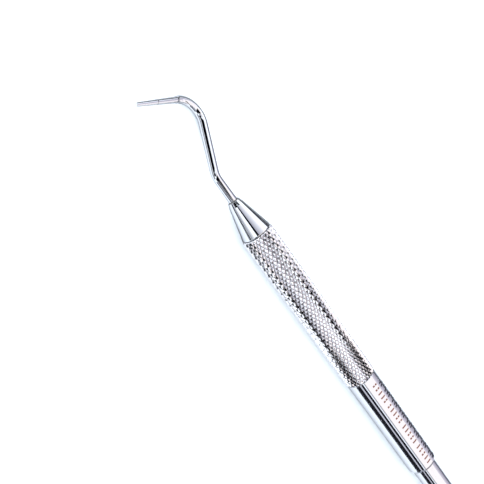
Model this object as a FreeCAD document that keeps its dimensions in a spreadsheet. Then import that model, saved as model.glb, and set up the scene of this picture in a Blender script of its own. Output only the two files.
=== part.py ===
import FreeCAD, Part

import math
import os

import Sketcher

# Single-ended root-canal plugger with a cone-socket handle, lying on a flat surface.
# Millimetres. +X runs along the handle towards the working end, +Z is up. Each piece is drawn
# about its own datum on the handle's axis, then placed: rolled about that axis until the back of
# the shank's bend touches the surface, and moved so that the origin is under the middle of the box.

DIMENSIONS = {
    # grip and marking sleeves: two tubes pressed over the core tube
    "grip_length": 37.0,
    "grip_radius": 3.3,
    "grip_edge": 0.12,
    "band_length": 24.9,
    "band_radius": 3.175,
    "band_front_edge": 0.06,
    "band_rear_run": 0.7,
    "band_rear_drop": 0.5,
    "sleeve_bore": 2.6,
    # core tube: inside the sleeves at the front, the bare tail at the back
    "tube_length": 113.0,
    "tube_tail_radius": 2.42,
    "tube_bore": 1.8,
    "tail_taper_length": 49.0,
    # end cap
    "plug_spigot": 4.0,
    "plug_head": 3.0,
    "plug_round": 1.5,
    # threaded bushing in the front of the tube
    "flange_thickness": 0.8,
    "bushing_barrel": 8.0,
    "bushing_bore": 1.28,
    # sealing ring between the bushing's flange and the cone
    "seal_thickness": 0.49,
    "seal_inner": 1.5,
    "seal_outer": 2.15,
    "groove_depth": 0.32,
    "groove_inner": 1.45,
    "groove_outer": 2.2,
    # cone
    "cone_length": 7.6,
    "cone_base_radius": 3.1,
    "cone_nose_radius": 1.7,
    "cone_nose_run": 1.5,
    "cone_front_radius": 1.2,
    "cone_base_edge": 0.25,
    "cone_front_edge": 0.12,
    "tang_depth": 4.9,
    # stud pressed into the cone, threaded at its free end
    "journal_length": 2.2,
    "journal_radius": 1.0,
    "thread_length": 6.0,
    "thread_radius": 1.25,
    "thread_edge": 0.25,
    # braze fillet round the shank in the cone's mouth
    "braze_seat": 0.3,
    "braze_outer": 1.03,
    "braze_stand": 0.2,
    # shank: straight, back bend, straight, forward bend
    "shank_root_radius": 0.89,
    "shank_waist_radius": 0.85,
    "shank_elbow_radius": 0.87,
    "shank_neck_radius": 0.76,
    "first_run": 4.81,
    "first_bend_radius": 3.36,
    "first_bend_angle": 33.2,
    "second_run": 9.28,
    "second_bend_radius": 4.36,
    "second_bend_angle": 100.0,
    "neck_run": 0.15,
    # nib: two graduated stretches, each ending in a depth ring
    "depth_step": 5.0,
    "ring_width": 0.14,
    "shoulder_radius": 0.78,
    "upper_nib_radius": 0.60,
    "upper_nib_end_radius": 0.53,
    "middle_ring_radius": 0.58,
    "lower_nib_radius": 0.52,
    "lower_nib_end_radius": 0.42,
    "tip_edge": 0.06,
    # seams
    "seam_gap": 0.06,
    "flange_setback": 0.2,
}

os.makedirs("parts", exist_ok=True)
doc = FreeCAD.newDocument("plugger")
sheet = doc.addObject("Spreadsheet::Sheet", "Sizes")
sheet.Label = "sizes"
for row, (alias, value) in enumerate(DIMENSIONS.items(), start=1):
    sheet.set(f"A{row}", alias)
    sheet.set(f"B{row}", str(value))
    sheet.setAlias(f"B{row}", alias)
doc.recompute()


def cell(alias):
    """The number in a cell of the sheet."""
    return float(sheet.get(alias))


def bound(text):
    """An expression in which each alias of the sheet stands for its cell."""
    words = text.replace("(", " ( ").replace(")", " ) ").split()
    return " ".join(f"Sizes.{word}" if word in DIMENSIONS else word for word in words)


def number(text):
    """The value that bound(text) has now."""
    total, sign = 0.0, 1.0
    for word in text.split():
        if word in "+-":
            sign = 1.0 if word == "+" else -1.0
        else:
            total += sign * (cell(word) if word in DIMENSIONS else float(word))
    return total


def turned(name, corners):
    """A body turned about the X axis. Each corner is (distance along the axis, radius), written
    as sums of cells, or "0" on an axis."""
    body = doc.addObject("PartDesign::Body", name)
    body.Label = name
    sketch = body.newObject("Sketcher::SketchObject", name + "_profile")
    plane = next(o for o in body.Origin.OriginFeatures if o.Role == "XY_Plane")
    sketch.AttachmentSupport = [(plane, "")]
    sketch.MapMode = "FlatFace"
    points = [FreeCAD.Vector(number(along), number(radius), 0) for along, radius in corners]
    for start, end in zip(points, points[1:] + points[:1]):
        sketch.addGeometry(Part.LineSegment(start, end), False)
    last = len(corners) - 1
    for index, (along, radius) in enumerate(corners):
        sketch.addConstraint(Sketcher.Constraint("Coincident", index, 1, (index - 1) % (last + 1), 2))
        if along == "0":
            sketch.addConstraint(Sketcher.Constraint("PointOnObject", index, 1, -2))
        else:
            size = Sketcher.Constraint("DistanceX", -1, 1, index, 1, number(along))
            sketch.setExpression(f"Constraints[{sketch.addConstraint(size)}]", bound(along))
        if radius == "0":
            sketch.addConstraint(Sketcher.Constraint("PointOnObject", index, 1, -1))
        else:
            size = Sketcher.Constraint("DistanceY", -1, 1, index, 1, number(radius))
            sketch.setExpression(f"Constraints[{sketch.addConstraint(size)}]", bound(radius))
    turn = body.newObject("PartDesign::Revolution", name + "_turned")
    turn.Profile = sketch
    turn.ReferenceAxis = (sketch, ["H_Axis"])
    turn.Angle = 360
    sketch.Visibility = False
    doc.recompute()
    return body


def rounded(body, radius, along, size):
    """Rounds the circular edge of that radius at that distance along the axis."""
    base = body.Tip
    names = [
        f"Edge{index}"
        for index, edge in enumerate(base.Shape.Edges, start=1)
        if isinstance(edge.Curve, Part.Circle)
        and abs(edge.Curve.Radius - number(radius)) < 1e-4
        and abs(edge.Curve.Center.x - number(along)) < 1e-4
    ]
    fillet = body.newObject("PartDesign::Fillet", body.Name + "_round")
    fillet.Base = (base, names)
    fillet.setExpression("Radius", bound(size))
    doc.recompute()
    return body


def make_grip_sleeve():
    """The gripping sleeve, drawn from its rear end forwards."""
    return turned("grip_sleeve", [
        ("0", "sleeve_bore"),
        ("grip_length", "sleeve_bore"),
        ("grip_length", "grip_radius - grip_edge"),
        ("grip_length - grip_edge", "grip_radius"),
        ("grip_edge", "grip_radius"),
        ("0", "grip_radius - grip_edge"),
    ])


def make_marking_sleeve():
    """The smooth sleeve, with a long chamfer down to the bare tail."""
    return turned("marking_sleeve", [
        ("0", "sleeve_bore"),
        ("band_length", "sleeve_bore"),
        ("band_length", "band_radius - band_front_edge"),
        ("band_length - band_front_edge", "band_radius"),
        ("band_rear_run", "band_radius"),
        ("0", "band_radius - band_rear_drop"),
    ])


def make_core_tube():
    """The tube that the sleeves are pressed on; its tapering rear is the bare tail."""
    return turned("core_tube", [
        ("0", "tube_bore"),
        ("tube_length", "tube_bore"),
        ("tube_length", "sleeve_bore"),
        ("tail_taper_length", "sleeve_bore"),
        ("0", "tube_tail_radius"),
    ])


def make_tail_plug():
    """The end cap: a spigot in the tube and a rounded head."""
    body = turned("tail_plug", [
        ("0", "0"),
        ("plug_head + plug_spigot", "0"),
        ("plug_head + plug_spigot", "tube_bore"),
        ("plug_head", "tube_bore"),
        ("plug_head", "tube_tail_radius"),
        ("0", "tube_tail_radius"),
    ])
    return rounded(body, "tube_tail_radius", "0", "plug_round")


def make_socket_bushing():
    """The threaded bushing, with the flange that closes the tube."""
    return turned("socket_bushing", [
        ("0", "bushing_bore"),
        ("bushing_barrel + flange_thickness", "bushing_bore"),
        ("bushing_barrel + flange_thickness", "sleeve_bore"),
        ("bushing_barrel", "sleeve_bore"),
        ("bushing_barrel", "tube_bore"),
        ("0", "tube_bore"),
    ])


def make_seal_ring():
    """The flat sealing ring in the groove of the cone's base."""
    return turned("seal_ring", [
        ("0", "seal_inner"),
        ("seal_thickness", "seal_inner"),
        ("seal_thickness", "seal_outer"),
        ("0", "seal_outer"),
    ])


def make_nose_cone():
    """The cone: stud bore and seal groove in its base, tang bore and braze seat in its front."""
    body = turned("nose_cone", [
        ("0", "journal_radius"),
        ("journal_length", "journal_radius"),
        ("journal_length", "0"),
        ("cone_length - tang_depth", "0"),
        ("cone_length - tang_depth", "shank_root_radius"),
        ("cone_length - braze_seat", "shank_root_radius"),
        ("cone_length", "braze_outer"),
        ("cone_length", "cone_front_radius"),
        ("cone_length - cone_nose_run", "cone_nose_radius"),
        ("0", "cone_base_radius"),
        ("0", "groove_outer"),
        ("groove_depth", "groove_outer"),
        ("groove_depth", "groove_inner"),
        ("0", "groove_inner"),
    ])
    rounded(body, "cone_base_radius", "0", "cone_base_edge")
    return rounded(body, "cone_front_radius", "cone_length", "cone_front_edge")


def make_threaded_stud():
    """The stud, from its free end to the end of the journal in the cone."""
    return turned("threaded_stud", [
        ("0", "0"),
        ("thread_length + journal_length", "0"),
        ("thread_length + journal_length", "journal_radius"),
        ("thread_length", "journal_radius"),
        ("thread_length", "thread_radius"),
        ("thread_edge", "thread_radius"),
        ("0", "thread_radius - thread_edge"),
    ])


def make_braze_collar():
    """The braze fillet, from the bottom of its seat outwards."""
    return turned("braze_collar", [
        ("0", "shank_root_radius"),
        ("braze_seat + braze_stand", "shank_root_radius"),
        ("braze_seat", "braze_outer"),
    ])


def straight(name, start, heading, length, start_radius, end_radius):
    """A straight tapering run of the shank, as a cone frustum, and the point where it ends."""
    run = doc.addObject("Part::Cone", name)
    run.setExpression("Height", bound(length))
    run.setExpression("Radius1", bound(start_radius))
    run.setExpression("Radius2", bound(end_radius))
    along = FreeCAD.Vector(math.cos(heading), math.sin(heading), 0)
    run.Placement = FreeCAD.Placement(start, FreeCAD.Rotation(FreeCAD.Vector(0, 0, 1), along))
    return run, start + along * number(length)


def cylinder(name, start, heading, length, radius):
    """A straight run of one radius, and the point where it ends."""
    run = doc.addObject("Part::Cylinder", name)
    run.setExpression("Height", bound(length))
    run.setExpression("Radius", bound(radius))
    along = FreeCAD.Vector(math.cos(heading), math.sin(heading), 0)
    run.Placement = FreeCAD.Placement(start, FreeCAD.Rotation(FreeCAD.Vector(0, 0, 1), along))
    return run, start + along * number(length)


def bend(name, start, heading, side, bend_radius, angle, radius):
    """A bend of the shank as a stretch of a torus, and the point and heading where it ends.
    side is 1 for a turn to the left and -1 for a turn to the right."""
    ring = doc.addObject("Part::Torus", name)
    ring.setExpression("Radius1", bound(bend_radius))
    ring.setExpression("Radius2", bound(radius))
    ring.setExpression("Angle3", bound(angle))
    turn = math.radians(number(angle))
    outward = FreeCAD.Vector(math.sin(heading), -math.cos(heading), 0) * side
    centre = start - outward * number(bend_radius)
    first = math.atan2(outward.y, outward.x)
    after = heading + side * turn
    lowest = first if side > 0 else first - turn
    ring.Placement = FreeCAD.Placement(
        centre, FreeCAD.Rotation(FreeCAD.Vector(0, 0, 1), math.degrees(lowest))
    )
    outward_after = FreeCAD.Vector(math.sin(after), -math.cos(after), 0) * side
    return ring, centre + outward_after * number(bend_radius), after


def make_plugger_shank():
    """Tang, contra-angled shank and graduated nib: one piece, drawn from the tang's bottom."""
    runs = []
    at, heading = FreeCAD.Vector(0, 0, 0), 0.0
    run, at = cylinder("tang", at, heading, "tang_depth", "shank_root_radius")
    runs.append(run)
    run, at = straight("root", at, heading, "first_run", "shank_root_radius", "shank_waist_radius")
    runs.append(run)
    run, at, heading = bend(
        "back_bend", at, heading, -1, "first_bend_radius", "first_bend_angle", "shank_waist_radius"
    )
    runs.append(run)
    run, at = straight(
        "waist", at, heading, "second_run", "shank_waist_radius", "shank_elbow_radius"
    )
    runs.append(run)
    run, at, heading = bend(
        "elbow", at, heading, 1, "second_bend_radius", "second_bend_angle", "shank_elbow_radius"
    )
    runs.append(run)
    stretches = [
        ("neck", "neck_run", "shank_elbow_radius", "shank_neck_radius"),
        ("shoulder", "ring_width", "shoulder_radius", "shoulder_radius"),
        ("upper_nib", "depth_step - ring_width", "upper_nib_radius", "upper_nib_end_radius"),
        ("middle_ring", "ring_width", "middle_ring_radius", "middle_ring_radius"),
        ("lower_nib", "depth_step - ring_width - tip_edge", "lower_nib_radius",
         "lower_nib_end_radius"),
        ("tip", "tip_edge", "lower_nib_end_radius", "lower_nib_end_radius - tip_edge"),
    ]
    for name, length, start_radius, end_radius in stretches:
        if start_radius == end_radius:
            run, at = cylinder(name, at, heading, length, start_radius)
        else:
            run, at = straight(name, at, heading, length, start_radius, end_radius)
        runs.append(run)
    shank = doc.addObject("Part::MultiFuse", "plugger_shank")
    shank.Label = "plugger_shank"
    shank.Shapes = runs
    shank.Refine = False
    return shank


def bend_depth():
    """How far the outside of the shank's bend reaches from the handle's axis, to its centreline."""
    angle = math.radians(cell("first_bend_angle"))
    in_bends = (cell("first_bend_radius") + cell("second_bend_radius")) * (1 - math.cos(angle))
    return in_bends + cell("second_run") * math.sin(angle)


# Where each piece's own datum lies along the handle's axis, from the face of the cone's base.
grip_rear = -cell("grip_length") - cell("seam_gap")
band_rear = grip_rear - cell("band_length")
flange_front = -cell("flange_setback")
tube_front = flange_front - cell("flange_thickness")
tube_rear = tube_front - cell("tube_length")
PIECES = [
    (make_plugger_shank(), cell("cone_length") - cell("tang_depth")),
    (make_braze_collar(), cell("cone_length") - cell("braze_seat")),
    (make_nose_cone(), 0.0),
    (make_threaded_stud(), -cell("thread_length")),
    (make_seal_ring(), flange_front + 0.01),
    (make_socket_bushing(), tube_front - cell("bushing_barrel")),
    (make_core_tube(), tube_rear),
    (make_grip_sleeve(), grip_rear),
    (make_marking_sleeve(), band_rear),
    (make_tail_plug(), tube_rear - cell("plug_head")),
]

# The shank's bend reaches down to the surface that the grip lies on.
drop = (cell("grip_radius") - cell("shank_elbow_radius")) / bend_depth()
roll = FreeCAD.Rotation(FreeCAD.Vector(1, 0, 0), math.degrees(math.asin(drop)))
for piece, along in PIECES:
    piece.Placement = FreeCAD.Placement(FreeCAD.Vector(along, 0, 0), roll)
doc.recompute()

box = FreeCAD.BoundBox()
for piece, along in PIECES:
    box.add(piece.Shape.optimalBoundingBox(False))
middle = (box.XMin + box.XMax) / 2
for piece, along in PIECES:
    moved = FreeCAD.Vector(along - middle, -(box.YMin + box.YMax) / 2, cell("grip_radius"))
    piece.Placement = FreeCAD.Placement(moved, roll)
doc.recompute()

for thing in doc.Objects:
    if any(word in thing.State for word in ("Invalid", "Error")):
        raise RuntimeError(f"{thing.Label} did not build: {thing.State}")
for piece, along in PIECES:
    if piece.Shape.isNull() or not piece.Shape.isValid() or len(piece.Shape.Solids) != 1:
        raise RuntimeError(f"{piece.Label} has no valid solid")
for piece, along in PIECES:
    piece.Shape.exportStep(f"parts/{piece.Label}.step")
    print(f"{piece.Label}: datum at x = {piece.Placement.Base.x:.3f} mm")
print(f"axis at y = {moved.y:.3f}, z = {moved.z:.3f} mm, rolled {math.degrees(math.asin(drop)):.3f}")
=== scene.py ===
import math

import bpy
import numpy as np
from mathutils import Matrix, Vector


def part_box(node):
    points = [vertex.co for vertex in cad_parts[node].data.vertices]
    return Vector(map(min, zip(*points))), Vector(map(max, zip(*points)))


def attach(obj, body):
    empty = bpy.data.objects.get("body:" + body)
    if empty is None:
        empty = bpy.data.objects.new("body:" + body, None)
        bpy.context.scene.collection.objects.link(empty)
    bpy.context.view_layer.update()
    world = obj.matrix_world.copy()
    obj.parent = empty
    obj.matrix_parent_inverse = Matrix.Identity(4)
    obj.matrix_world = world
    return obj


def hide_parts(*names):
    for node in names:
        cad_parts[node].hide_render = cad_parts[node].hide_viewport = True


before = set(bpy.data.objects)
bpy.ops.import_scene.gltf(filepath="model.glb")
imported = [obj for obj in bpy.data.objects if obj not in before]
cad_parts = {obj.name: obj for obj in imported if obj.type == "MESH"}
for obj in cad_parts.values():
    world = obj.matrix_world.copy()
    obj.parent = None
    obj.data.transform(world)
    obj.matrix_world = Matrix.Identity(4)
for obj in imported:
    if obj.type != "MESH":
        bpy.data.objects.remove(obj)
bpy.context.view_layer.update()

# A single-ended root-canal plugger lying on a pale surface. Sizes are in millimetres along and
# around the handle's axis, and become metres in the part's frame through Axis.place.
MM = 0.001

# Roundness of what is turned, and of its edges
SEGMENTS = 160
ARC_STEP = math.radians(9)
EDGE = 0.035

# Shank: the same route as the solid's
FIRST_RUN = 4.81
FIRST_BEND_RADIUS = 3.36
FIRST_BEND = math.radians(33.2)
SECOND_RUN = 9.28
SECOND_BEND_RADIUS = 4.36
SECOND_BEND = math.radians(100.0)
NECK_RUN = 0.15
TANG = 4.9
SHANK_ROOT = 0.89
SHANK_WAIST = 0.845
SHANK_ELBOW = 0.865
SHANK_NECK = 0.75

# Nib
DEPTH_STEP = 5.0
RING = 0.14
SHOULDER = 0.78
UPPER_NIB = (0.60, 0.525)
MIDDLE_RING = 0.58
LOWER_NIB = (0.515, 0.415)

# Knurl: crossed helical grooves, so many starts each way
KNURL_STARTS = 26
KNURL_PERIODS = 25
KNURL_DEPTH = 0.26
KNURL_DETAIL = 3
KNURL_WEAR = 0.08
KNURL_MARGIN = 0.16

# Handle: sleeves, tube and end cap
BAND_RADIUS = 3.175
SLEEVE_BORE = 2.6
TUBE_BORE = 1.8
TAIL_RADIUS = 2.42
TAIL_TAPER = 49.0
PLUG_HEAD = 3.0
PLUG_ROUND = 1.5

# Cone. CORE_HOLE is the narrow hidden hole that joins its two bores
CONE_BASE = 3.1
CONE_NOSE = 1.50
CONE_NOSE_RUN = 0.95
CONE_FRONT = 1.17
CORE_HOLE = 0.4
BRAZE_SEAT = 0.3
BRAZE_OUTER = 1.03
BRAZE_STAND = 0.2
GROOVE_DEPTH = 0.32
GROOVE_INNER = 1.45
GROOVE_OUTER = 2.2

# Sealing ring
SEAL_OUTER = 2.15
SEAL_INNER = 1.5
SEAL_ROUND = 0.12

# Stud, bushing and the thread that they share
STUD_RADIUS = 1.25
JOURNAL_RADIUS = 1.0
JOURNAL_LENGTH = 2.2
FLANGE = 0.8
BUSHING_BORE = 1.28
BUSHING_MOUTH = 1.52
THREAD_PITCH = 0.45
THREAD_DEPTH = 0.24
TAPPED_DEPTH = 0.2
THREAD_FLANK = 0.42
THREAD_RUN_OUT = 0.35
THREAD_STEPS = 14
THREAD_SEGMENTS = 72

# Radii of the solids at the two places that the instrument lies on, which set its roll
LYING_GRIP = 3.3
LYING_ELBOW = 0.87


# ---------------------------------------------------------------- handle's axis

class Axis:
    """The handle's axis in the part's frame, with the roll that the instrument lies at."""

    low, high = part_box("grip_sleeve")
    y = (low.y + high.y) / 2
    z = (low.z + high.z) / 2
    grip_radius = (high.z - low.z) / 2 / MM
    in_bends = (FIRST_BEND_RADIUS + SECOND_BEND_RADIUS) * (1 - math.cos(FIRST_BEND))
    depth = in_bends + SECOND_RUN * math.sin(FIRST_BEND)
    roll = math.asin((LYING_GRIP - LYING_ELBOW) / depth)

    @classmethod
    def place(cls, points):
        """Points (along, sideways, up) in mm about the axis, in the part's frame in metres."""
        points = np.asarray(points, float)
        c, s = math.cos(cls.roll), math.sin(cls.roll)
        return np.column_stack((
            points[:, 0] * MM,
            cls.y + (points[:, 1] * c - points[:, 2] * s) * MM,
            cls.z + (points[:, 1] * s + points[:, 2] * c) * MM,
        ))

    @classmethod
    def turn(cls, directions):
        """Directions about the axis, turned by the roll into the part's frame."""
        directions = np.asarray(directions, float)
        c, s = math.cos(cls.roll), math.sin(cls.roll)
        return np.column_stack((
            directions[:, 0],
            directions[:, 1] * c - directions[:, 2] * s,
            directions[:, 1] * s + directions[:, 2] * c,
        ))


def ends(node):
    """Where a node starts and ends along the handle, in mm."""
    low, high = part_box(node)
    return low.x / MM, high.x / MM


def add_mesh(name, points, faces, corner_normals=None, smooth=True):
    """An object with that mesh. corner_normals is a direction for each corner of each face."""
    mesh = bpy.data.meshes.new(name)
    mesh.from_pydata([tuple(p) for p in Axis.place(points)], [], faces)
    mesh.polygons.foreach_set("use_smooth", [smooth] * len(mesh.polygons))
    if corner_normals is not None:
        mesh.normals_split_custom_set([tuple(n) for n in Axis.turn(corner_normals)])
    mesh.update()
    piece = bpy.data.objects.new(name, mesh)
    bpy.context.scene.collection.objects.link(piece)
    return piece


# ---------------------------------------------------------------- turned pieces

def soften(corners, closed):
    """Rounds a profile's corners. Corners are (along, radius, rounding). Returns stretches
    (start, end, start normal, end normal), each a point or direction in the profile's plane."""
    count = len(corners)
    ins, outs, arcs = [], [], []
    for i, (x, r, rounding) in enumerate(corners):
        here = np.array([x, r], float)
        if (not closed and i in (0, count - 1)) or rounding <= 0:
            ins.append(here)
            outs.append(here)
            arcs.append(None)
            continue
        before = np.array(corners[i - 1][:2], float) - here
        after = np.array(corners[(i + 1) % count][:2], float) - here
        room = 0.45 * min(np.linalg.norm(before), np.linalg.norm(after))
        before /= np.linalg.norm(before)
        after /= np.linalg.norm(after)
        half = math.acos(max(-1.0, min(1.0, float(before @ after)))) / 2
        reach = min(rounding / math.tan(half), room)
        radius = reach * math.tan(half)
        middle = here + (before + after) / np.linalg.norm(before + after) * radius / math.sin(half)
        ins.append(here + before * reach)
        outs.append(here + after * reach)
        arcs.append((middle, radius))
    stretches = []
    for i in range(count):
        if arcs[i] is not None:
            middle, radius = arcs[i]
            first = ins[i] - middle
            last = outs[i] - middle
            swing = math.atan2(first[0] * last[1] - first[1] * last[0], float(first @ last))
            steps = max(2, math.ceil(abs(swing) / ARC_STEP))
            side = -1 if swing > 0 else 1
            spoke = []
            for k in range(steps + 1):
                c, s = math.cos(swing * k / steps), math.sin(swing * k / steps)
                spoke.append(np.array([first[0] * c - first[1] * s, first[0] * s + first[1] * c]))
            for a, b in zip(spoke, spoke[1:]):
                stretches.append((middle + a, middle + b, side * a / radius, side * b / radius))
        if closed or i < count - 1:
            start, end = outs[i], ins[(i + 1) % count]
            along = end - start
            if np.linalg.norm(along) > 1e-9:
                along /= np.linalg.norm(along)
                normal = np.array([-along[1], along[0]])
                stretches.append((start, end, normal, normal))
    return stretches


def divided(stretches, step):
    """The same stretches, with none longer than step along the axis."""
    out = []
    for start, end, n0, n1 in stretches:
        parts = max(1, math.ceil(abs(end[0] - start[0]) / step))
        for k in range(parts):
            a, b = k / parts, (k + 1) / parts
            out.append((
                start + (end - start) * a,
                start + (end - start) * b,
                n0 + (n1 - n0) * a,
                n0 + (n1 - n0) * b,
            ))
    return out


def straight_route(along):
    """The handle's own axis: the point and heading at a distance along it."""
    return np.array([along, 0.0]), 0.0


def facing(heading, flat, angle):
    """A profile's normal (along, outward), turned about a route that runs at a heading."""
    side, up = flat[1] * math.cos(angle), flat[1] * math.sin(angle)
    return (
        flat[0] * math.cos(heading) - side * math.sin(heading),
        flat[0] * math.sin(heading) + side * math.cos(heading),
        up,
    )


def turned(name, corners, closed=True, route=straight_route, step=None, segments=SEGMENTS):
    """A piece turned about a route from a profile. The profile runs forwards along the outside
    and back along the bore, or from a point on the axis to another."""
    stretches = soften(corners, closed)
    if step:
        stretches = divided(stretches, step)
    knots = [s[0] for s in stretches]
    if not closed:
        knots.append(stretches[-1][1])
    points, rings = [], []
    frames = [route(knot[0]) for knot in knots]
    angles = [2 * math.pi * j / segments for j in range(segments)]
    for (x, r), (centre, heading) in zip(knots, frames):
        across = (-math.sin(heading), math.cos(heading))
        if r < 1e-6:
            rings.append([len(points)] * segments)
            points.append((centre[0], centre[1], 0.0))
            continue
        rings.append(list(range(len(points), len(points) + segments)))
        for angle in angles:
            side, up = r * math.cos(angle), r * math.sin(angle)
            points.append((centre[0] + side * across[0], centre[1] + side * across[1], up))
    faces, normals = [], []
    for i, (_, _, n0, n1) in enumerate(stretches):
        k = (i + 1) % len(knots)
        for j in range(segments):
            after = (j + 1) % segments
            corner = [
                (rings[i][j], i, n0, j),
                (rings[i][after], i, n0, j + 1),
                (rings[k][after], k, n1, j + 1),
                (rings[k][j], k, n1, j),
            ]
            kept = []
            for item in corner:
                if item[0] not in [other[0] for other in kept]:
                    kept.append(item)
            faces.append([item[0] for item in kept])
            for _, at, flat, turn in kept:
                normals.append(facing(frames[at][1], flat, 2 * math.pi * turn / segments))
    return add_mesh(name, points, faces, normals)


def cone_profile():
    """The cone's outside, bores, seal groove and braze seat."""
    base, front = ends("nose_cone")
    return [
        (base, CONE_BASE, 0.22),
        (front - CONE_NOSE_RUN, CONE_NOSE, 0.9),
        (front, CONE_FRONT, 0.08),
        (front, BRAZE_OUTER, EDGE),
        (front - BRAZE_SEAT, SHANK_ROOT, EDGE),
        (front - TANG, SHANK_ROOT, EDGE),
        (front - TANG, CORE_HOLE, EDGE),
        (base + JOURNAL_LENGTH, CORE_HOLE, EDGE),
        (base + JOURNAL_LENGTH, JOURNAL_RADIUS, EDGE),
        (base, JOURNAL_RADIUS, EDGE),
        (base, GROOVE_INNER, EDGE),
        (base + GROOVE_DEPTH, GROOVE_INNER, EDGE),
        (base + GROOVE_DEPTH, GROOVE_OUTER, EDGE),
        (base, GROOVE_OUTER, EDGE),
    ]


def band_profile():
    """The smooth sleeve, with a broken edge at its front and a chamfer at its rear."""
    low, high = ends("marking_sleeve")
    front_edge = 0.06
    rear_run, rear_drop = 0.7, 0.5
    return [
        (low, BAND_RADIUS - rear_drop, EDGE),
        (low + rear_run, BAND_RADIUS, EDGE),
        (high - front_edge, BAND_RADIUS, EDGE),
        (high, BAND_RADIUS - front_edge, EDGE),
        (high, SLEEVE_BORE, 0),
        (low, SLEEVE_BORE, 0),
    ]


def tube_profile():
    """The core tube, with the bare tapering tail at its rear."""
    low, high = ends("core_tube")
    return [
        (low, TAIL_RADIUS, 0.05),
        (low + TAIL_TAPER, SLEEVE_BORE, 0),
        (high, SLEEVE_BORE, EDGE),
        (high, TUBE_BORE, EDGE),
        (low, TUBE_BORE, 0),
    ]


def plug_profile():
    """The end cap: spigot and rounded head."""
    low, high = ends("tail_plug")
    return [
        (low, 0, 0),
        (low, TAIL_RADIUS, PLUG_ROUND),
        (low + PLUG_HEAD, TAIL_RADIUS, 0.05),
        (low + PLUG_HEAD, TUBE_BORE, 0),
        (high, TUBE_BORE, 0.1),
        (high, 0, 0),
    ]


def seal_profile():
    """The sealing ring, with rounded edges."""
    low, high = ends("seal_ring")
    return [
        (low, SEAL_OUTER, SEAL_ROUND),
        (high, SEAL_OUTER, SEAL_ROUND),
        (high, SEAL_INNER, SEAL_ROUND),
        (low, SEAL_INNER, SEAL_ROUND),
    ]


def braze_profile():
    """The hollow braze fillet between shank and cone."""
    low, high = ends("braze_collar")
    hollow = [
        (
            low + BRAZE_SEAT + BRAZE_STAND * (1 - math.cos(t)),
            BRAZE_OUTER - (BRAZE_OUTER - SHANK_ROOT) * math.sin(t),
            0,
        )
        for t in np.linspace(0.12, math.pi / 2, 7)
    ]
    return [(low, SHANK_ROOT, 0), (low + 0.28, 1.0, 0), *hollow, (high, SHANK_ROOT - 0.002, 0)]


# ---------------------------------------------------------------- shank and nib

def shank_route(along):
    """The point and heading of the shank's centreline at a distance from the tang's bottom."""
    x, y, heading = ends("plugger_shank")[0], 0.0, 0.0
    left = along
    for length, turn in (
        (TANG + FIRST_RUN, 0.0),
        (FIRST_BEND_RADIUS * FIRST_BEND, -FIRST_BEND),
        (SECOND_RUN, 0.0),
        (SECOND_BEND_RADIUS * SECOND_BEND, SECOND_BEND),
        (math.inf, 0.0),
    ):
        here = min(left, length)
        if turn:
            swing = turn * here / length
            radius = length / turn
            x += radius * (math.sin(heading + swing) - math.sin(heading))
            y -= radius * (math.cos(heading + swing) - math.cos(heading))
            heading += swing
        else:
            x += here * math.cos(heading)
            y += here * math.sin(heading)
        left -= here
        if left <= 0:
            break
    return np.array([x, y]), heading


def shank_profile():
    """The shank's radius along its route, with the nib's depth rings at its end."""
    bend_start = TANG + FIRST_RUN
    bend_end = bend_start + FIRST_BEND_RADIUS * FIRST_BEND
    elbow_start = bend_end + SECOND_RUN
    elbow_end = elbow_start + SECOND_BEND_RADIUS * SECOND_BEND
    shoulder = elbow_end + NECK_RUN
    middle = shoulder + DEPTH_STEP
    tip = middle + DEPTH_STEP - 0.02
    fine = 0.02
    return [
        (0, 0, 0),
        (0, SHANK_ROOT - 0.1, 0),
        (0.1, SHANK_ROOT - 0.004, 0),
        (TANG - 0.1, SHANK_ROOT - 0.004, 2),
        (bend_start, SHANK_WAIST, 4),
        (elbow_start, SHANK_ELBOW, 4),
        (elbow_end - 1.0, SHANK_NECK + 0.02, 3),
        (shoulder - 0.05, SHANK_NECK, 0.3),
        (shoulder, SHOULDER - 0.01, fine),
        (shoulder + RING, SHOULDER, fine),
        (shoulder + RING + 0.02, UPPER_NIB[0], fine),
        (middle - 0.02, UPPER_NIB[1], fine),
        (middle, MIDDLE_RING - 0.01, fine),
        (middle + RING, MIDDLE_RING - 0.005, fine),
        (middle + RING + 0.02, LOWER_NIB[0], fine),
        (tip, LOWER_NIB[1], 0.06),
        (tip, 0, 0),
    ]


# ---------------------------------------------------------------- knurl and threads

def around(x, radius, step, steps):
    """The point at a distance along the axis, a radius from it, and a step round it."""
    angle = 2 * math.pi * step / steps
    return x, radius * math.cos(angle), radius * math.sin(angle)


def between(ring, other, step, steps):
    """The face between two rings of points at a step round them."""
    after = (step + 1) % steps
    return ring * steps + step, ring * steps + after, other * steps + after, other * steps + step


def knurl_height(a, b):
    """The knurl's height, from 0 in a groove to 1 on a worn crest. A groove runs where a or b is
    whole, and each pyramid between them has four flat slopes."""
    slope = 2 * min(abs(a - round(a)), abs(b - round(b)))
    return min(slope / (1 - KNURL_WEAR), 1.0)


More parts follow.
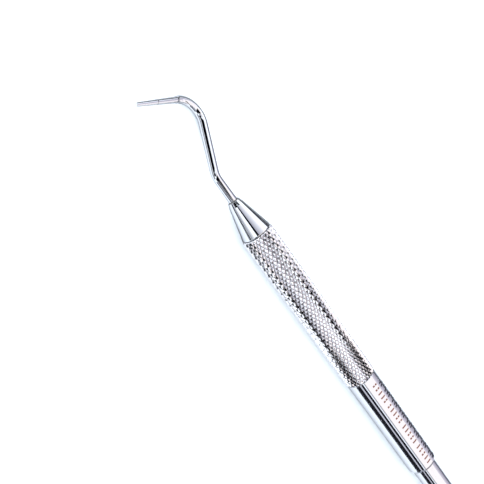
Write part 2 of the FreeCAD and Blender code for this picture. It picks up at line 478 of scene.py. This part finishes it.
def knurled(name):
    """The grip: two crossed sets of helical grooves cut in a sleeve, which leave pyramids."""
    low, high = ends("grip_sleeve")
    start, length = low + KNURL_MARGIN, high - low - 2 * KNURL_MARGIN
    per_cell = 2 * KNURL_DETAIL
    rows = KNURL_PERIODS * per_cell
    columns = KNURL_STARTS * per_cell
    floor = Axis.grip_radius - KNURL_DEPTH
    edge = ((0.0, floor - 0.10), (0.05, floor - 0.03))
    rings = [(low, [SLEEVE_BORE] * columns)]
    rings += [(low + inset, [radius] * columns) for inset, radius in edge]
    for i in range(rows + 1):
        v = i / per_cell
        heights = [knurl_height(j / per_cell + v, j / per_cell - v) for j in range(columns)]
        run_out = 0.75 if i in (0, rows) else 1.0
        rings.append((
            start + length * i / rows,
            [floor + KNURL_DEPTH * h * run_out for h in heights],
        ))
    rings += [(high - inset, [radius] * columns) for inset, radius in reversed(edge)]
    rings.append((high, [SLEEVE_BORE] * columns))
    points = [around(x, radius, j, columns) for x, radii in rings for j, radius in enumerate(radii)]
    faces = []
    total = len(rings)
    for i in range(total):
        for j in range(columns):
            a, b, c, d = between(i, (i + 1) % total, j, columns)
            if not 3 <= i < rows + 3:
                faces.append((a, b, c, d))
                continue
            # the diagonal follows the groove or the slope that it lies on
            cell_row, cell_column = (i - 3) // KNURL_DETAIL, j // KNURL_DETAIL
            if (cell_row + cell_column) % 2 == 0:
                faces += [(a, b, c), (a, c, d)]
            else:
                faces += [(a, b, d), (b, c, d)]
    piece = add_mesh(name, points, faces)
    piece.data.set_sharp_from_angle(angle=math.radians(25))
    return piece


def thread_groove(x, step):
    """How deep in the thread's groove a place is, from 0 on the crest to 1."""
    phase = (x / THREAD_PITCH - step / THREAD_SEGMENTS) % 1.0
    return max(0.0, 1 - abs(phase - 0.5) / THREAD_FLANK)


def thread_places(start, end):
    """The distances along the axis at which a thread between start and end has its points."""
    rows = int(round(abs(end - start) / THREAD_PITCH * THREAD_STEPS))
    return [start + (end - start) * i / rows for i in range(rows + 1)]


def stud(name):
    """The stud: a screw thread that runs out at both ends, and the journal pressed in the cone."""
    start, front = ends("threaded_stud")
    end = front - JOURNAL_LENGTH
    steps = THREAD_SEGMENTS
    places = thread_places(start, end)
    points, faces = [], []
    for x in places:
        fade = max(0.0, min(1.0, (x - start) / THREAD_RUN_OUT, (end - x) / THREAD_RUN_OUT))
        for j in range(steps):
            depth = THREAD_DEPTH * max(thread_groove(x, j), 1 - fade)
            points.append(around(x, STUD_RADIUS - depth, j, steps))
    for i in range(len(places) - 1):
        faces += [between(i, i + 1, j, steps) for j in range(steps)]
    points += [(start, 0, 0), (end + JOURNAL_LENGTH, 0, 0)]
    journal = len(points)
    for x in (end, end + JOURNAL_LENGTH):
        points += [around(x, JOURNAL_RADIUS, j, steps) for j in range(steps)]
    last = (len(places) - 1) * steps
    for j in range(steps):
        after = (j + 1) % steps
        faces.append((after, j, journal - 2))
        faces.append((last + j, last + after, journal + after, journal + j))
        faces.append((journal + j, journal + after, journal + steps + after, journal + steps + j))
        faces.append((journal + steps + j, journal + steps + after, journal - 1))
    piece = add_mesh(name, points, faces)
    piece.data.set_sharp_from_angle(angle=math.radians(35))
    return piece


def bushing(name):
    """The socket bushing: flange, barrel and the thread in its bore, one closed surface."""
    low, high = ends("socket_bushing")
    steps = THREAD_SEGMENTS
    outline = [
        (low, TUBE_BORE),
        (high - FLANGE, TUBE_BORE),
        (high - FLANGE, SLEEVE_BORE - 0.02),
        (high - FLANGE + 0.06, SLEEVE_BORE),
        (high - 0.06, SLEEVE_BORE),
        (high, SLEEVE_BORE - 0.06),
        (high, BUSHING_MOUTH),
        (high - 0.22, BUSHING_BORE + 0.02),
    ]
    rings = [[(x, r)] * steps for x, r in outline]
    for x in thread_places(high - 0.24, low):
        rings.append([(x, BUSHING_BORE + TAPPED_DEPTH * thread_groove(x, j)) for j in range(steps)])
    points = [around(x, r, j, steps) for ring in rings for j, (x, r) in enumerate(ring)]
    faces = []
    for i in range(len(rings)):
        faces += [between(i, (i + 1) % len(rings), j, steps) for j in range(steps)]
    piece = add_mesh(name, points, faces)
    piece.data.set_sharp_from_angle(angle=math.radians(30))
    return piece


# ---------------------------------------------------------------- etched marks

# Where the two rows lie round the sleeve: 0 is towards +Y and 90 is straight up as it lies
SCALE_ANGLE = math.radians(127) - Axis.roll
BATCH_ANGLE = math.radians(92) - Axis.roll


def etched_row(name, marks, middle_angle):
    """Shallow marks on the smooth sleeve. Each is (along, height, width, offset round the sleeve),
    a thin curved pad that stands a few microns proud."""
    proud, sunk, step = 0.005, 0.02, 0.12
    corners = ((0, -sunk), (0, proud), (1, proud), (1, -sunk))
    points, faces = [], []
    for along, height, width, offset in marks:
        steps = max(2, math.ceil(height / step))
        base = len(points)
        for k in range(steps + 1):
            angle = middle_angle + (offset + height * (k / steps - 0.5)) / BAND_RADIUS
            for side, lift in corners:
                r = BAND_RADIUS + lift
                points.append((along + side * width, r * math.cos(angle), r * math.sin(angle)))
        for k in range(steps):
            a, b = base + 4 * k, base + 4 * (k + 1)
            for m in range(4):
                n = (m + 1) % 4
                faces.append((a + m, b + m, b + n, a + n))
        faces.append((base, base + 1, base + 2, base + 3))
        top = base + 4 * steps
        faces.append((top + 3, top + 2, top + 1, top))
    return add_mesh(name, points, faces, smooth=False)


def scale_marks(start, end):
    """A plain scale: a tall tick and a short one at each step, the short one now above, now below."""
    step = 1.45
    offset = 0.32
    marks = []
    for k in range(int((end - start) / step)):
        marks.append((start + k * step, 1.7, 0.36, 0.0))
        marks.append((start + (k + 0.45) * step, 0.95, 0.34, offset if k % 2 else -offset))
    return marks


def batch_marks(start, end):
    """Marks with no meaning, in groups of five: two bars, then two pairs of dots, by turns."""
    pitch, group_pitch, group = 1.05, 1.5, 5
    dot_offset = 0.32
    marks = []
    at, k = start, 0
    while at < end - 0.9:
        if k % 4 < 2:
            marks.append((at, 1.15, 0.3, 0.0))
        else:
            marks.append((at, 0.45, 0.36, dot_offset))
            marks.append((at, 0.45, 0.36, -dot_offset))
        at += group_pitch if k % group == group - 1 else pitch
        k += 1
    return marks


# ---------------------------------------------------------------- materials

def new_material(name):
    """A material with only a Principled shader, its nodes and its links."""
    material = bpy.data.materials.new(name)
    material.use_nodes = True
    nodes, links = material.node_tree.nodes, material.node_tree.links
    return material, nodes, links, nodes["Principled BSDF"]


def noise(nodes, links, scale, stretch, detail=4.0, rough=0.55):
    """Noise in the part's own coordinates, in metres, stretched along each axis."""
    place = nodes.new("ShaderNodeTexCoord")
    mapping = nodes.new("ShaderNodeMapping")
    mapping.inputs["Scale"].default_value = stretch
    texture = nodes.new("ShaderNodeTexNoise")
    texture.inputs["Scale"].default_value = scale
    texture.inputs["Detail"].default_value = detail
    texture.inputs["Roughness"].default_value = rough
    links.new(place.outputs["Object"], mapping.inputs["Vector"])
    links.new(mapping.outputs["Vector"], texture.inputs["Vector"])
    return texture


def spread(nodes, links, source, low, high, from_low=0.3, from_high=0.7):
    """The source's range mapped to low and high."""
    ramp = nodes.new("ShaderNodeMapRange")
    ramp.inputs["From Min"].default_value = from_low
    ramp.inputs["From Max"].default_value = from_high
    ramp.inputs["To Min"].default_value = low
    ramp.inputs["To Max"].default_value = high
    links.new(source, ramp.inputs["Value"])
    return ramp


def steel(name, colour, other, gloss, lines, depth, tint=0.5):
    """Stainless steel. colour and other mix in slow clouds, gloss is the roughness from and to,
    lines scales the noise of the fine polishing lines along each axis, depth is their bump in
    metres, and tint the grey of the specular tint."""
    material, nodes, links, shader = new_material(name)
    shader.inputs["Metallic"].default_value = 1.0
    shader.inputs["Specular Tint"].default_value = (tint, tint, tint * 1.04, 1.0)
    clouds = noise(nodes, links, 900.0, (0.4, 1.0, 1.0), 3.0)
    mix = nodes.new("ShaderNodeMix")
    mix.data_type = "RGBA"
    mix.inputs["A"].default_value = (*colour, 1.0)
    mix.inputs["B"].default_value = (*other, 1.0)
    links.new(clouds.outputs["Fac"], mix.inputs["Factor"])
    links.new(mix.outputs["Result"], shader.inputs["Base Color"])
    fine = noise(nodes, links, 2600.0, lines, 5.0, 0.65)
    roughness = spread(nodes, links, fine.outputs["Fac"], gloss[0], gloss[1])
    links.new(roughness.outputs["Result"], shader.inputs["Roughness"])
    bump = nodes.new("ShaderNodeBump")
    bump.inputs["Strength"].default_value = 1.0
    bump.inputs["Distance"].default_value = depth
    links.new(fine.outputs["Fac"], bump.inputs["Height"])
    links.new(bump.outputs["Normal"], shader.inputs["Normal"])
    return material


def oxide(name, colour, other):
    """The dull film of a laser-etched mark."""
    material, nodes, links, shader = new_material(name)
    shader.inputs["Specular IOR Level"].default_value = 0.15
    grain = noise(nodes, links, 9000.0, (1.0, 1.0, 1.0), 4.0)
    mix = nodes.new("ShaderNodeMix")
    mix.data_type = "RGBA"
    mix.inputs["A"].default_value = (*colour, 1.0)
    mix.inputs["B"].default_value = (*other, 1.0)
    links.new(grain.outputs["Fac"], mix.inputs["Factor"])
    links.new(mix.outputs["Result"], shader.inputs["Base Color"])
    roughness = spread(nodes, links, grain.outputs["Fac"], 0.35, 0.7)
    links.new(roughness.outputs["Result"], shader.inputs["Roughness"])
    return material


def rubber(name):
    """Dull black sealing rubber with a fine moulded grain."""
    material, nodes, links, shader = new_material(name)
    grain = noise(nodes, links, 7000.0, (1.0, 1.0, 1.0), 5.0)
    mix = nodes.new("ShaderNodeMix")
    mix.data_type = "RGBA"
    mix.inputs["A"].default_value = (0.012, 0.012, 0.014, 1.0)
    mix.inputs["B"].default_value = (0.035, 0.035, 0.038, 1.0)
    links.new(grain.outputs["Fac"], mix.inputs["Factor"])
    links.new(mix.outputs["Result"], shader.inputs["Base Color"])
    roughness = spread(nodes, links, grain.outputs["Fac"], 0.5, 0.75)
    links.new(roughness.outputs["Result"], shader.inputs["Roughness"])
    bump = nodes.new("ShaderNodeBump")
    bump.inputs["Distance"].default_value = 0.00001
    links.new(grain.outputs["Fac"], bump.inputs["Height"])
    links.new(bump.outputs["Normal"], shader.inputs["Normal"])
    return material


TURNED_LINES = (1.0, 0.06, 0.06)
LENGTHWISE_LINES = (0.05, 1.0, 1.0)
MIRROR_STEEL = steel("mirror_steel", (0.65, 0.65, 0.67), (0.60, 0.60, 0.63), (0.03, 0.07),
                     LENGTHWISE_LINES, 1.5e-7, tint=0.0)
POLISHED_STEEL = steel("polished_steel", (0.65, 0.65, 0.67), (0.60, 0.60, 0.63), (0.04, 0.09),
                       LENGTHWISE_LINES, 2.5e-7)
KNURLED_STEEL = steel("knurled_steel", (0.75, 0.73, 0.75), (0.67, 0.65, 0.68), (0.05, 0.12),
                      TURNED_LINES, 4e-7, tint=0.3)
TURNED_STEEL = steel("turned_steel", (0.74, 0.74, 0.76), (0.62, 0.62, 0.65), (0.2, 0.34),
                     TURNED_LINES, 8e-7)
BRAZE = steel("silver_braze", (0.12, 0.115, 0.11), (0.26, 0.25, 0.24), (0.30, 0.50),
              (1.0, 1.0, 1.0), 1e-6)
DARK_ETCH = oxide("dark_etch", (0.006, 0.006, 0.012), (0.02, 0.02, 0.03))
BROWN_ETCH = oxide("brown_etch", (0.12, 0.035, 0.025), (0.22, 0.085, 0.065))
SEAL_RUBBER = rubber("seal_rubber")


# ---------------------------------------------------------------- the object

def finish_piece(piece, material, body, slot, *nodes):
    """Gives a piece its material and its body, and hides the CAD nodes that it stands for. slot is
    not used.
    """
    piece.data.materials.append(material)
    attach(piece, body)
    if nodes:
        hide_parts(*nodes)


def build_instrument():
    """Every visible piece, on the body that it belongs to."""
    shank = turned("shank_and_nib", shank_profile(), closed=False, route=shank_route, step=0.3,
                   segments=96)
    finish_piece(shank, MIRROR_STEEL, "working_end", "polished_steel", "plugger_shank")
    cone = turned("tapered_cone", cone_profile())
    finish_piece(cone, MIRROR_STEEL, "working_end", "polished_steel", "nose_cone")
    collar = turned("braze_fillet", braze_profile(), segments=96)
    finish_piece(collar, BRAZE, "working_end", "braze", "braze_collar")
    screw = stud("stud_thread")
    finish_piece(screw, TURNED_STEEL, "working_end", "machined_steel", "threaded_stud")
    ring = turned("sealing_ring", seal_profile(), segments=96)
    finish_piece(ring, SEAL_RUBBER, "seal", "seal_rubber", "seal_ring")
    insert = bushing("tapped_bushing")
    finish_piece(insert, TURNED_STEEL, "handle", "machined_steel", "socket_bushing")
    grip = knurled("knurled_grip")
    finish_piece(grip, KNURLED_STEEL, "handle", "knurled_steel", "grip_sleeve")
    sleeve = turned("smooth_sleeve", band_profile())
    finish_piece(sleeve, POLISHED_STEEL, "handle", "polished_steel", "marking_sleeve")
    tube = turned("tail_tube", tube_profile())
    finish_piece(tube, POLISHED_STEEL, "handle", "polished_steel", "core_tube")
    plug = turned("rounded_end_cap", plug_profile(), closed=False)
    finish_piece(plug, POLISHED_STEEL, "handle", "polished_steel", "tail_plug")
    rear, front = ends("marking_sleeve")
    scale = etched_row("etched_scale", scale_marks(rear + 1.2, front - 0.7), SCALE_ANGLE)
    finish_piece(scale, DARK_ETCH, "handle", "polished_steel")
    batch = etched_row("etched_batch_marks", batch_marks(rear + 1.5, front - 0.9), BATCH_ANGLE)
    finish_piece(batch, BROWN_ETCH, "handle", "polished_steel")


build_instrument()


# ---------------------------------------------------------------- stage, light, camera

# The panels stand round the cone's base. They were placed so that the steel mirrors about
# what it does in the photograph. Their colours are brightnesses, and may pass 1
NOSE = Vector((ends("nose_cone")[0] * MM, Axis.y, Axis.z))
BLACK = (0.004, 0.004, 0.006)
PINKISH_WHITE = (1.62, 1.55, 1.54)
COOL_WHITE = (1.42, 1.50, 1.58)


def floor_material():
    """The pale paper under the instrument."""
    material, _, _, shader = new_material("floor_paper")
    shader.inputs["Base Color"].default_value = (0.90, 0.92, 0.94, 1.0)
    shader.inputs["Roughness"].default_value = 0.9
    return material


def glow(name, first, last):
    """A glow that goes from one colour to another across a panel."""
    material = bpy.data.materials.new(name)
    material.use_nodes = True
    nodes, links = material.node_tree.nodes, material.node_tree.links
    nodes.clear()
    place = nodes.new("ShaderNodeTexCoord")
    split = nodes.new("ShaderNodeSeparateXYZ")
    mix = nodes.new("ShaderNodeMix")
    mix.data_type = "RGBA"
    mix.inputs["A"].default_value = (*first, 1.0)
    mix.inputs["B"].default_value = (*last, 1.0)
    emission = nodes.new("ShaderNodeEmission")
    out = nodes.new("ShaderNodeOutputMaterial")
    links.new(place.outputs["Generated"], split.inputs["Vector"])
    links.new(split.outputs["X"], mix.inputs["Factor"])
    links.new(mix.outputs["Result"], emission.inputs["Color"])
    links.new(emission.outputs["Emission"], out.inputs["Surface"])
    return material


def reflected_card(name, corners, first, last, place=Matrix()):
    """A glowing card that only reflections see."""
    mesh = bpy.data.meshes.new(name)
    mesh.from_pydata(corners, [], [(0, 1, 2, 3)])
    mesh.materials.append(glow(name + "_glow", first, last))
    piece = bpy.data.objects.new(name, mesh)
    piece.matrix_world = place
    bpy.context.scene.collection.objects.link(piece)
    piece.visible_camera = False
    piece.visible_shadow = False
    piece.visible_diffuse = False


def panel(name, round_axis, along_axis, first, last=None, distance=1.0):
    """A flat panel of the studio, at a distance from the cone's base in metres. round_axis is its
    range of directions about the handle, in degrees from straight up towards +Y; along_axis is its
    range towards +X."""
    middle = math.radians(sum(round_axis) / 2)
    rise = math.radians(sum(along_axis) / 2)
    wide = distance * math.cos(rise) * math.tan(math.radians(round_axis[1] - round_axis[0]) / 2)
    high = distance * math.tan(math.radians(along_axis[1] - along_axis[0]) / 2)
    corners = [(-wide, -high, 0), (wide, -high, 0), (wide, high, 0), (-wide, high, 0)]
    out = Vector((math.sin(rise), math.cos(rise) * math.sin(middle),
                  math.cos(rise) * math.cos(middle)))
    across = Vector((0.0, math.cos(middle), -math.sin(middle)))
    turn = Matrix((across, across.cross(out) * -1, out)).transposed()
    place = Matrix.Translation(NOSE + out * distance) @ turn.to_4x4()
    reflected_card(name, corners, first, last or first, place)


def painted_floor_reflection(name, start, end, colour):
    """A painted dark floor reflection: a dark card just above the floor, between two distances
    towards +Y in mm, that only reflections see, while the floor that the camera sees stays pale."""
    near, far, high = start * MM, end * MM, 0.2 * MM
    corners = [(-1.0, near, high), (1.0, near, high), (1.0, far, high), (-1.0, far, high)]
    reflected_card(name, corners, colour, colour)


def make_stage():
    """Floor, soft white surroundings and the panels that the steel mirrors."""
    bpy.ops.mesh.primitive_plane_add(size=8)
    floor = bpy.context.object
    floor.name = "floor"
    floor.data.materials.append(floor_material())

    world = bpy.data.worlds.new("studio")
    bpy.context.scene.world = world
    world.use_nodes = True
    background = world.node_tree.nodes["Background"]
    background.inputs["Color"].default_value = (0.87, 0.94, 1.0, 1.0)
    background.inputs["Strength"].default_value = 2.0

    panel("overhead_sheet", (-52, 28), (-83, 13), PINKISH_WHITE, distance=1.3)
    panel("skylight", (-34, 66), (-64, -55), BLACK)
    panel("camera_strap", (-18, 62), (-12, 6), BLACK, distance=1.05)
    panel("knurl_sheet", (-90, -52), (-68, -44), PINKISH_WHITE, distance=0.9)
    panel("side_sheet", (-90, -52), (-64, -8), (0.50, 0.47, 0.60), (1.15, 1.10, 1.24))
    panel("side_fold", (-90, -52), (-24, -4), (0.36, 0.34, 0.46), (0.74, 0.71, 0.90), distance=0.95)
    panel("side_edge", (-90, -74), (-4, 8), (0.30, 0.29, 0.38), (0.60, 0.58, 0.74))
    panel("far_gap", (-90, -76), (-24, 45), BLACK, distance=0.9)
    panel("photographer", (-30, 62), (25, 57), BLACK)
    panel("chest", (8, 80), (16, 26), BLACK)
    panel("lens", (16, 31), (6, 17), BLACK, distance=0.9)
    panel("sleeve_of_photographer", (-28, 20), (7, 17), COOL_WHITE, (0.48, 0.48, 0.62))
    panel("near_sheet", (50, 82), (6, 60), COOL_WHITE, (0.28, 0.29, 0.36))
    panel("near_gap", (79, 91), (6, 60), BLACK, distance=0.95)
    panel("near_wall", (66, 92), (-50, -9), (0.018, 0.02, 0.027))
    panel("near_crease", (52, 67), (-50, -9), (0.85, 0.88, 1.0), distance=1.05)
    panel("near_strip", (40, 55), (-50, -9), (0.02, 0.022, 0.035))
    panel("near_fold", (25, 34), (-50, -9), (0.62, 0.63, 0.70))
    # Painted dark floor reflections: dark cards on the floor that only the steel's reflections see
    painted_floor_reflection("painted_floor_reflection", -400.0, -14.0, (0.20, 0.21, 0.25))
    painted_floor_reflection("painted_floor_reflection_plus_y", 40.0, 400.0, (0.03, 0.03, 0.04))


# Camera: where it looks, from how far, and how it is turned about its line of sight
AIM = Vector((43.173, 4.701, 4.7)) * MM
DISTANCE = 144.3 * MM
AZIMUTH = math.radians(53.71)
ELEVATION = math.radians(62.60)
TWIST = math.radians(86.96)
LENS = 58.17


def make_camera():
    """The photograph's view: nearly overhead, with the handle running down to the right."""
    data = bpy.data.cameras.new("camera")
    data.lens = LENS
    data.sensor_width = 36.0
    data.clip_start = 0.01
    camera = bpy.data.objects.new("camera", data)
    back = Vector((
        math.cos(ELEVATION) * math.cos(AZIMUTH),
        math.cos(ELEVATION) * math.sin(AZIMUTH),
        math.sin(ELEVATION),
    ))
    level = back.to_track_quat("Z", "Y").to_matrix().to_4x4()
    twist = Matrix.Rotation(TWIST, 4, "Z")
    camera.matrix_world = Matrix.Translation(AIM + back * DISTANCE) @ level @ twist
    bpy.context.scene.collection.objects.link(camera)
    bpy.context.scene.camera = camera


make_stage()
make_camera()
bpy.context.scene.view_settings.view_transform = "Standard"
